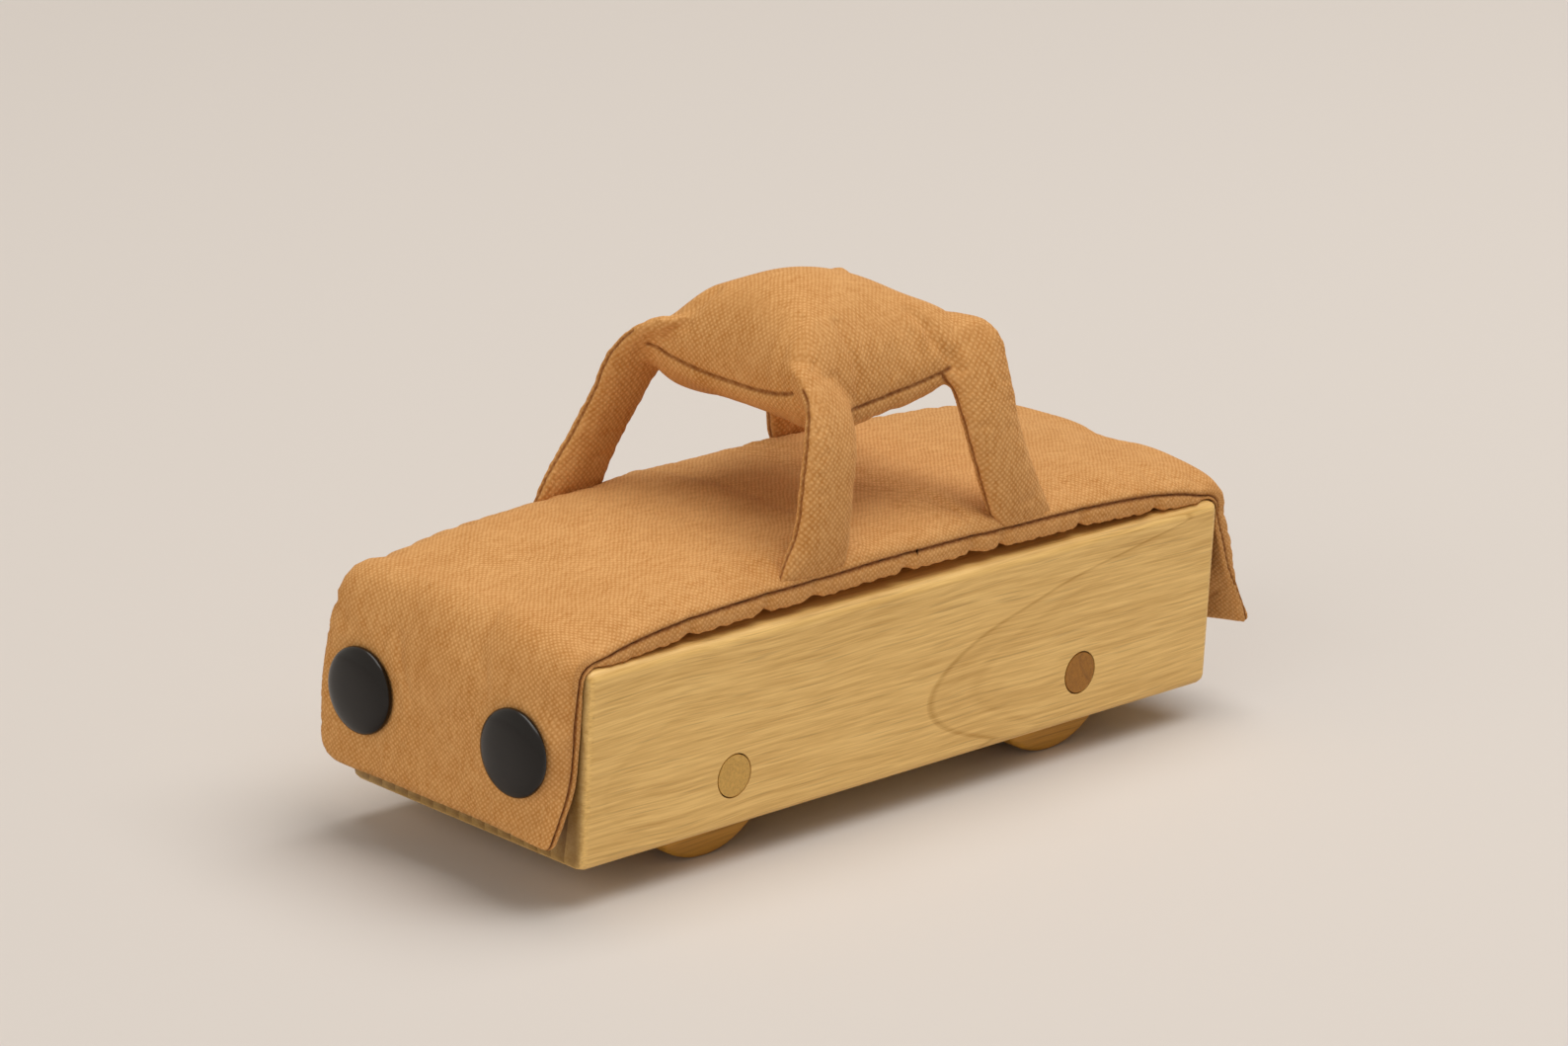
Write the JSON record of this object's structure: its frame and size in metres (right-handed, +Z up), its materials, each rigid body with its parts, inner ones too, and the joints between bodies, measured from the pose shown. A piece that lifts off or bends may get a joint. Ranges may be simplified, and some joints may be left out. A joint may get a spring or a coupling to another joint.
{
  "type": "toy car",
  "caption": "Toy car: a solid wooden block body on dowel-mounted wooden wheels, dressed in a padded cloth cover with a stuffed roof on straps and end flaps held by round snaps.",
  "frame": {"origin": "middle of the car's outline at the level that the wheels stand on", "axes": "+X towards the car's left side, +Y towards its rear, +Z up; the front faces -Y"},
  "size_m": [0.0616, 0.1874, 0.0981],
  "materials": {
    "block_wood": "sanded pale hardwood with a light clear oil",
    "wheel_wood": "sanded hardwood, a little darker than the block",
    "dowel_wood": "sanded dowel, end grain at both ends",
    "cover_cloth": "tan cotton twill",
    "lining_cloth": "tan cotton twill, lining side",
    "wadding": "soft polyester wadding",
    "snap_cap": "glossy brown-black",
    "snap_metal": "plain brass"
  },
  "bodies": {
    "car_body": {"body_block": "block_wood", "front_axle": "dowel_wood", "rear_axle": "dowel_wood", "deck_outer_cloth": "cover_cloth", "deck_wadding": "wadding", "deck_lining": "lining_cloth", "front_fold": "cover_cloth", "rear_fold": "cover_cloth", "roof_outer_cloth": "cover_cloth", "roof_stuffing": "wadding", "roof_lining": "lining_cloth", "front_left_pillar_cloth": "cover_cloth", "front_left_pillar_stuffing": "wadding", "front_right_pillar_cloth": "cover_cloth", "front_right_pillar_stuffing": "wadding", "rear_left_pillar_cloth": "cover_cloth", "rear_left_pillar_stuffing": "wadding", "rear_right_pillar_cloth": "cover_cloth", "rear_right_pillar_stuffing": "wadding", "front_left_screw_stud": "snap_metal", "front_right_screw_stud": "snap_metal", "rear_left_screw_stud": "snap_metal", "rear_right_screw_stud": "snap_metal"},
    "front_left_wheel_body": {"front_left_wheel": "wheel_wood"},
    "front_right_wheel_body": {"front_right_wheel": "wheel_wood"},
    "rear_left_wheel_body": {"rear_left_wheel": "wheel_wood"},
    "rear_right_wheel_body": {"rear_right_wheel": "wheel_wood"},
    "front_flap": {"front_flap_outer_cloth": "cover_cloth", "front_flap_wadding": "wadding", "front_flap_lining": "lining_cloth", "front_left_snap_cap": "snap_cap", "front_left_snap_socket": "snap_metal", "front_right_snap_cap": "snap_cap", "front_right_snap_socket": "snap_metal"},
    "rear_flap": {"rear_flap_outer_cloth": "cover_cloth", "rear_flap_wadding": "wadding", "rear_flap_lining": "lining_cloth", "rear_left_snap_cap": "snap_cap", "rear_left_snap_socket": "snap_metal", "rear_right_snap_cap": "snap_cap", "rear_right_snap_socket": "snap_metal"}
  },
  "joints": [
    {"name": "front_left_wheel_spin", "type": "hinge", "parent": "car_body", "child": "front_left_wheel_body", "pos_m": [0.01845, -0.0463, 0.0175], "axis": [1, 0, 0], "continuous": true},
    {"name": "front_right_wheel_spin", "type": "hinge", "parent": "car_body", "child": "front_right_wheel_body", "pos_m": [-0.01845, -0.0463, 0.0175], "axis": [1, 0, 0], "continuous": true},
    {"name": "rear_left_wheel_spin", "type": "hinge", "parent": "car_body", "child": "rear_left_wheel_body", "pos_m": [0.01845, 0.0463, 0.0175], "axis": [1, 0, 0], "continuous": true},
    {"name": "rear_right_wheel_spin", "type": "hinge", "parent": "car_body", "child": "rear_right_wheel_body", "pos_m": [-0.01845, 0.0463, 0.0175], "axis": [1, 0, 0], "continuous": true},
    {"name": "front_flap_open", "type": "hinge", "parent": "car_body", "child": "front_flap", "pos_m": [0, -0.082, 0.0427], "axis": [-1, 0, 0], "range_deg": [0, 90], "deforming": ["front_fold"]},
    {"name": "rear_flap_open", "type": "hinge", "parent": "car_body", "child": "rear_flap", "pos_m": [0, 0.082, 0.0427], "axis": [1, 0, 0], "range_deg": [0, 90], "deforming": ["rear_fold"]}
  ]
}
